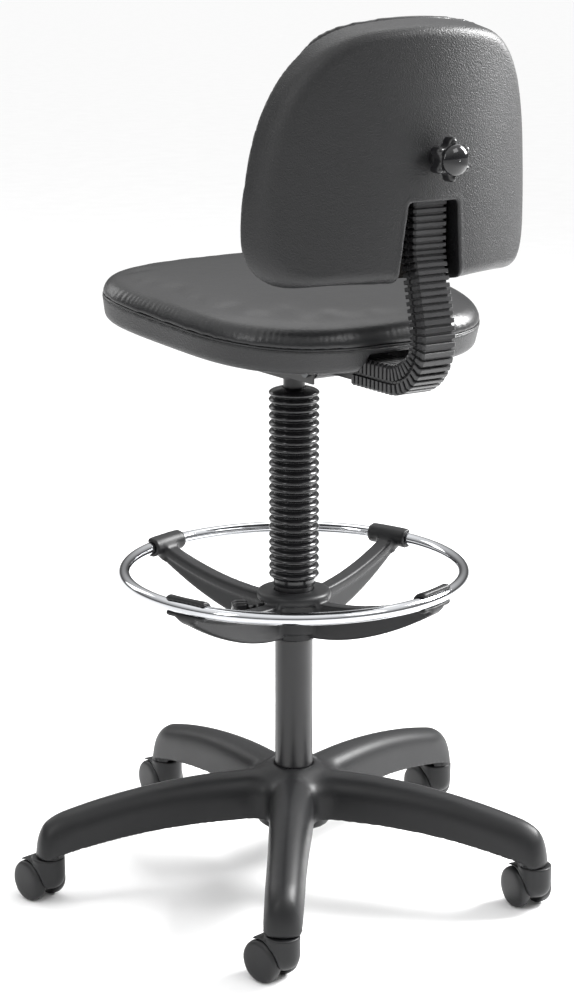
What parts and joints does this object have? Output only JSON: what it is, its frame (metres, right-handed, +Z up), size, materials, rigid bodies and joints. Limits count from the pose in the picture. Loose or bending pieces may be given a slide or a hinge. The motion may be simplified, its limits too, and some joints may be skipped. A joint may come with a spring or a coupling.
{
  "type": "drafting chair",
  "caption": "Tall swivel drafting chair with a wrapped backrest on a J-shaped bar, a padded seat, a bellows column, a chrome foot ring and a five-arm caster base.",
  "frame": {"origin": "on the floor, on the column's axis", "axes": "+Z up; the sitter faces -Y, and +X is the sitter's left"},
  "size_m": [0.6885, 0.7169, 1.1364],
  "materials": {
    "base_nylon": "fine satin texture",
    "wheel_plastic": "satin",
    "shell_plastic": "fine pebbled satin",
    "black_plastic": "satin",
    "gloss_cap": "gloss",
    "bellows_gloss": "gloss",
    "bellows_satin": "satin",
    "vinyl": "soft sheen",
    "black_steel": "satin powder coat",
    "chrome": "polished",
    "zinc_steel": "zinc plated",
    "white_nylon": "satin",
    "red_plastic": "satin",
    "plywood": "raw veneer"
  },
  "bodies": {
    "base": {"star_base": "base_nylon", "gas_tube": "black_steel", "guide_bush": "white_nylon", "thrust_bearing": "zinc_steel", "column_bellows": "bellows_gloss"},
    "rod": {"piston_rod": "zinc_steel", "rod_clip": "zinc_steel"},
    "seat_lift": {"gas_cylinder": "black_steel", "mechanism": "black_steel", "mechanism_bolts": "zinc_steel", "tee_nuts": "zinc_steel", "tilt_pin": "zinc_steel", "seat_board": "plywood", "seat_shell": "shell_plastic", "shell_screws": "zinc_steel", "seat_cushion": "vinyl"},
    "valve": {"valve_button": "red_plastic"},
    "height_control": {"height_lever": "black_plastic"},
    "tilt_control": {"tilt_lever": "black_plastic"},
    "back_arm": {"back_bracket": "black_steel", "j_bar": "black_steel", "bracket_bolts": "zinc_steel", "jbar_bellows": "bellows_satin"},
    "backrest": {"slide_bracket": "black_steel", "back_board": "plywood", "back_shell": "shell_plastic", "back_screws": "zinc_steel", "back_cushion": "vinyl"},
    "back_clamp": {"back_knob": "black_plastic", "knob_cap": "gloss_cap"},
    "foot_rest": {"footring": "chrome", "footring_hub": "base_nylon", "saddle_screws": "zinc_steel"},
    "ring_clamp": {"ring_knob": "black_plastic"},
    "caster_1": {"caster_hood_1": "base_nylon", "caster_stem_1": "zinc_steel", "caster_axle_1": "zinc_steel"},
    "roller_left_1": {"wheel_left_1": "wheel_plastic"},
    "roller_right_1": {"wheel_right_1": "wheel_plastic"},
    "caster_2": {"caster_hood_2": "base_nylon", "caster_stem_2": "zinc_steel", "caster_axle_2": "zinc_steel"},
    "roller_left_2": {"wheel_left_2": "wheel_plastic"},
    "roller_right_2": {"wheel_right_2": "wheel_plastic"},
    "caster_3": {"caster_hood_3": "base_nylon", "caster_stem_3": "zinc_steel", "caster_axle_3": "zinc_steel"},
    "roller_left_3": {"wheel_left_3": "wheel_plastic"},
    "roller_right_3": {"wheel_right_3": "wheel_plastic"},
    "caster_4": {"caster_hood_4": "base_nylon", "caster_stem_4": "zinc_steel", "caster_axle_4": "zinc_steel"},
    "roller_left_4": {"wheel_left_4": "wheel_plastic"},
    "roller_right_4": {"wheel_right_4": "wheel_plastic"},
    "caster_5": {"caster_hood_5": "base_nylon", "caster_stem_5": "zinc_steel", "caster_axle_5": "zinc_steel"},
    "roller_left_5": {"wheel_left_5": "wheel_plastic"},
    "roller_right_5": {"wheel_right_5": "wheel_plastic"}
  },
  "joints": [
    {"name": "seat_swivel", "type": "hinge", "parent": "base", "child": "rod", "pos_m": [0, 0, 0.1], "axis": [0, 0, 1], "continuous": true},
    {"name": "seat_height", "type": "slide", "parent": "rod", "child": "seat_lift", "axis": [0, 0, 1], "range_m": [-0.165, 0], "deforming": ["column_bellows"]},
    {"name": "height_lever_pull", "type": "hinge", "parent": "seat_lift", "child": "height_control", "pos_m": [-0.03, 0, 0.7335], "axis": [0, 1, 0], "range_deg": [0, 6.7], "stiffness_Nm_per_rad": 2},
    {"name": "valve_press", "type": "slide", "parent": "seat_lift", "child": "valve", "axis": [0, 0, 1], "range_m": [-0.0036, 0], "stiffness_N_per_m": 600},
    {"name": "tilt_lever_turn", "type": "hinge", "parent": "seat_lift", "child": "tilt_control", "pos_m": [-0.1, 0.066, 0.712], "axis": [1, 0, 0], "range_deg": [0, 30]},
    {"name": "back_tilt", "type": "hinge", "parent": "seat_lift", "child": "back_arm", "pos_m": [0, 0.095, 0.706], "axis": [-1, 0, 0], "range_deg": [-3, 15]},
    {"name": "back_height", "type": "slide", "parent": "back_arm", "child": "backrest", "axis": [0, 0, 1], "range_m": [-0.02, 0.03]},
    {"name": "back_knob_turn", "type": "hinge", "parent": "backrest", "child": "back_clamp", "pos_m": [0, 0.3, 0.981], "axis": [0, 1, 0], "range_deg": [-360, 0]},
    {"name": "foot_ring_height", "type": "slide", "parent": "base", "child": "foot_rest", "axis": [0, 0, 1], "range_m": [-0.15, 0]},
    {"name": "ring_knob_turn", "type": "hinge", "parent": "foot_rest", "child": "ring_clamp", "pos_m": [0.06308, -0.03036, 0.368], "axis": [0.9011, -0.4337, 0], "range_deg": [-360, 0]},
    {"name": "caster_swivel_1", "type": "hinge", "parent": "base", "child": "caster_1", "pos_m": [0.19515, 0.26859, 0.06], "axis": [0, 0, 1], "continuous": true},
    {"name": "wheel_spin_left_1", "type": "hinge", "parent": "caster_1", "child": "roller_left_1", "pos_m": [0.19942, 0.25008, 0.027], "axis": [0.9744, 0.225, 0], "continuous": true},
    {"name": "wheel_spin_right_1", "type": "hinge", "parent": "caster_1", "child": "roller_right_1", "pos_m": [0.19942, 0.25008, 0.027], "axis": [0.9744, 0.225, 0], "continuous": true},
    {"name": "caster_swivel_2", "type": "hinge", "parent": "base", "child": "caster_2", "pos_m": [-0.19515, 0.26859, 0.06], "axis": [0, 0, 1], "continuous": true},
    {"name": "wheel_spin_left_2", "type": "hinge", "parent": "caster_2", "child": "roller_left_2", "pos_m": [-0.1968, 0.24967, 0.027], "axis": [0.9962, -0.0872, 0], "continuous": true},
    {"name": "wheel_spin_right_2", "type": "hinge", "parent": "caster_2", "child": "roller_right_2", "pos_m": [-0.1968, 0.24967, 0.027], "axis": [0.9962, -0.0872, 0], "continuous": true},
    {"name": "caster_swivel_3", "type": "hinge", "parent": "base", "child": "caster_3", "pos_m": [-0.31575, -0.10259, 0.06], "axis": [0, 0, 1], "continuous": true},
    {"name": "wheel_spin_left_3", "type": "hinge", "parent": "caster_3", "child": "roller_left_3", "pos_m": [-0.3141, -0.12152, 0.027], "axis": [0.9962, 0.0872, 0], "continuous": true},
    {"name": "wheel_spin_right_3", "type": "hinge", "parent": "caster_3", "child": "roller_right_3", "pos_m": [-0.3141, -0.12152, 0.027], "axis": [0.9962, 0.0872, 0], "continuous": true},
    {"name": "caster_swivel_4", "type": "hinge", "parent": "base", "child": "caster_4", "pos_m": [0, -0.332, 0.06], "axis": [0, 0, 1], "continuous": true},
    {"name": "wheel_spin_left_4", "type": "hinge", "parent": "caster_4", "child": "roller_left_4", "pos_m": [0, -0.351, 0.027], "axis": [1, 0, 0], "continuous": true},
    {"name": "wheel_spin_right_4", "type": "hinge", "parent": "caster_4", "child": "roller_right_4", "pos_m": [0, -0.351, 0.027], "axis": [1, 0, 0], "continuous": true},
    {"name": "caster_swivel_5", "type": "hinge", "parent": "base", "child": "caster_5", "pos_m": [0.31575, -0.10259, 0.06], "axis": [0, 0, 1], "continuous": true},
    {"name": "wheel_spin_left_5", "type": "hinge", "parent": "caster_5", "child": "roller_left_5", "pos_m": [0.31938, -0.12125, 0.027], "axis": [0.9816, 0.1908, 0], "continuous": true},
    {"name": "wheel_spin_right_5", "type": "hinge", "parent": "caster_5", "child": "roller_right_5", "pos_m": [0.31938, -0.12125, 0.027], "axis": [0.9816, 0.1908, 0], "continuous": true}
  ],
  "couplings": [
    {"joint": "valve_press", "follows": "height_lever_pull", "m_per_rad": -0.03}
  ]
}
